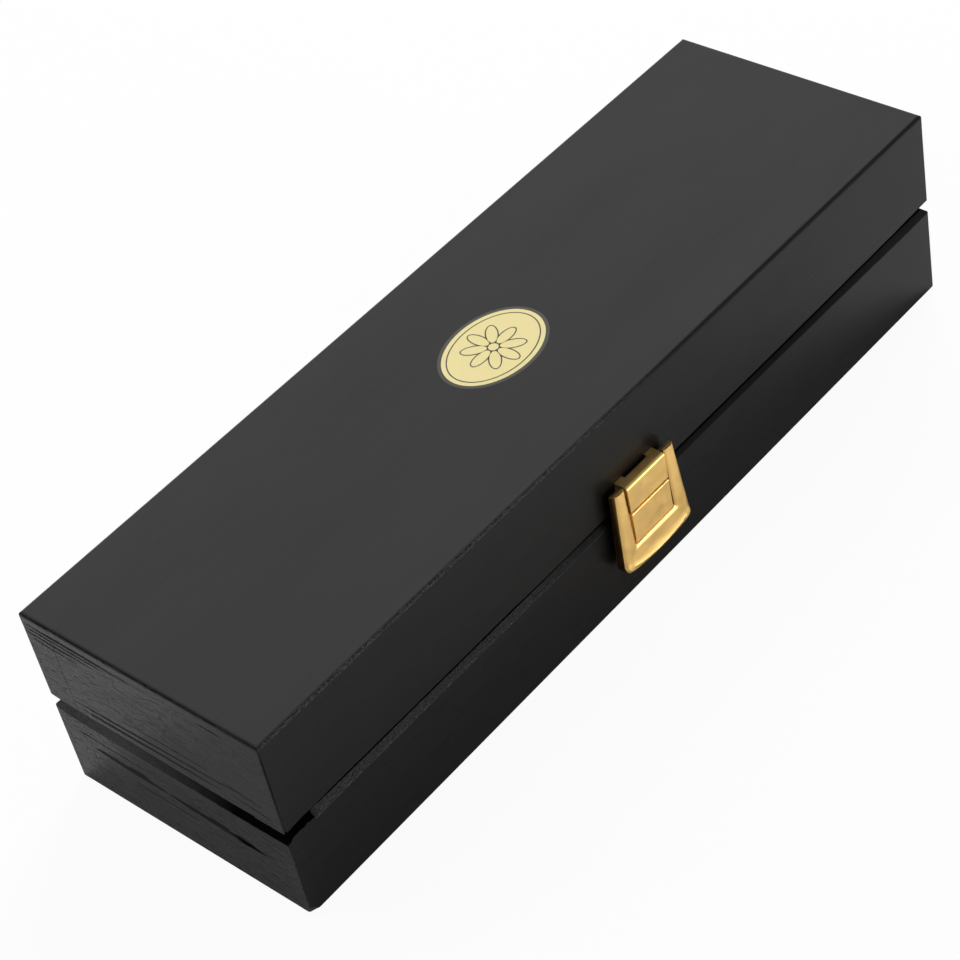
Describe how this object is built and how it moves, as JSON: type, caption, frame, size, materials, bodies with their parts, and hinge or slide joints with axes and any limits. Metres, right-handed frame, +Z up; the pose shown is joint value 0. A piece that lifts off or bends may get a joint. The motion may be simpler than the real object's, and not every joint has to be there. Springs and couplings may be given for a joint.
{
  "type": "knife box",
  "caption": "Black wooden presentation box for one fixed-blade knife, with a hinged lid, a bevelled seam, a padded tray and a small snap hasp.",
  "frame": {"origin": "centre of the underside, on the surface that the box rests on", "axes": "+X along the box, +Y from the front with the hasp to the back with the hinges, +Z up"},
  "size_m": [0.26, 0.0849, 0.0592],
  "materials": {
    "black_painted_wood": "black satin paint over open-grained wood",
    "velvet": "short-pile black velvet over foam",
    "pad_card": "matt black card",
    "gold_plating": "satin gold plating on a die-cast hasp",
    "hinge_brass": "lightly polished brass",
    "screw_brass": "turned brass",
    "spring_bronze": "rolled spring bronze"
  },
  "bodies": {
    "base": {"base_front_wall": "black_painted_wood", "base_back_wall": "black_painted_wood", "base_left_end": "black_painted_wood", "base_right_end": "black_painted_wood", "base_bottom_board": "black_painted_wood", "tray_insert": "velvet", "left_hinge_base_leaf": "hinge_brass", "right_hinge_base_leaf": "hinge_brass", "left_hinge_pin": "hinge_brass", "right_hinge_pin": "hinge_brass", "base_hinge_screws": "screw_brass", "keeper_plate": "gold_plating", "keeper_spring": "spring_bronze", "keeper_rivets": "screw_brass", "keeper_screws": "screw_brass"},
    "lid": {"lid_top_board": "black_painted_wood", "lid_front_wall": "black_painted_wood", "lid_back_wall": "black_painted_wood", "lid_left_end": "black_painted_wood", "lid_right_end": "black_painted_wood", "lid_pad_card": "pad_card", "lid_pad": "velvet", "left_hinge_lid_leaf": "hinge_brass", "right_hinge_lid_leaf": "hinge_brass", "lid_hinge_screws": "screw_brass", "hasp_bracket": "gold_plating", "hasp_bracket_screws": "screw_brass", "hasp_cover_plate": "gold_plating"},
    "hasp": {"hasp_frame": "gold_plating", "hasp_insert_plate": "gold_plating", "hasp_stub_pins": "hinge_brass"}
  },
  "joints": [
    {"name": "lid_hinge", "type": "hinge", "parent": "base", "child": "lid", "pos_m": [0, 0.0382, 0.0286], "axis": [-1, 0, 0], "range_deg": [0, 98], "deforming": ["keeper_spring"]},
    {"name": "hasp_pivot", "type": "hinge", "parent": "lid", "child": "hasp", "pos_m": [0, -0.04215, 0.03655], "axis": [-1, 0, 0], "range_deg": [0, 115], "deforming": ["keeper_spring"]}
  ]
}
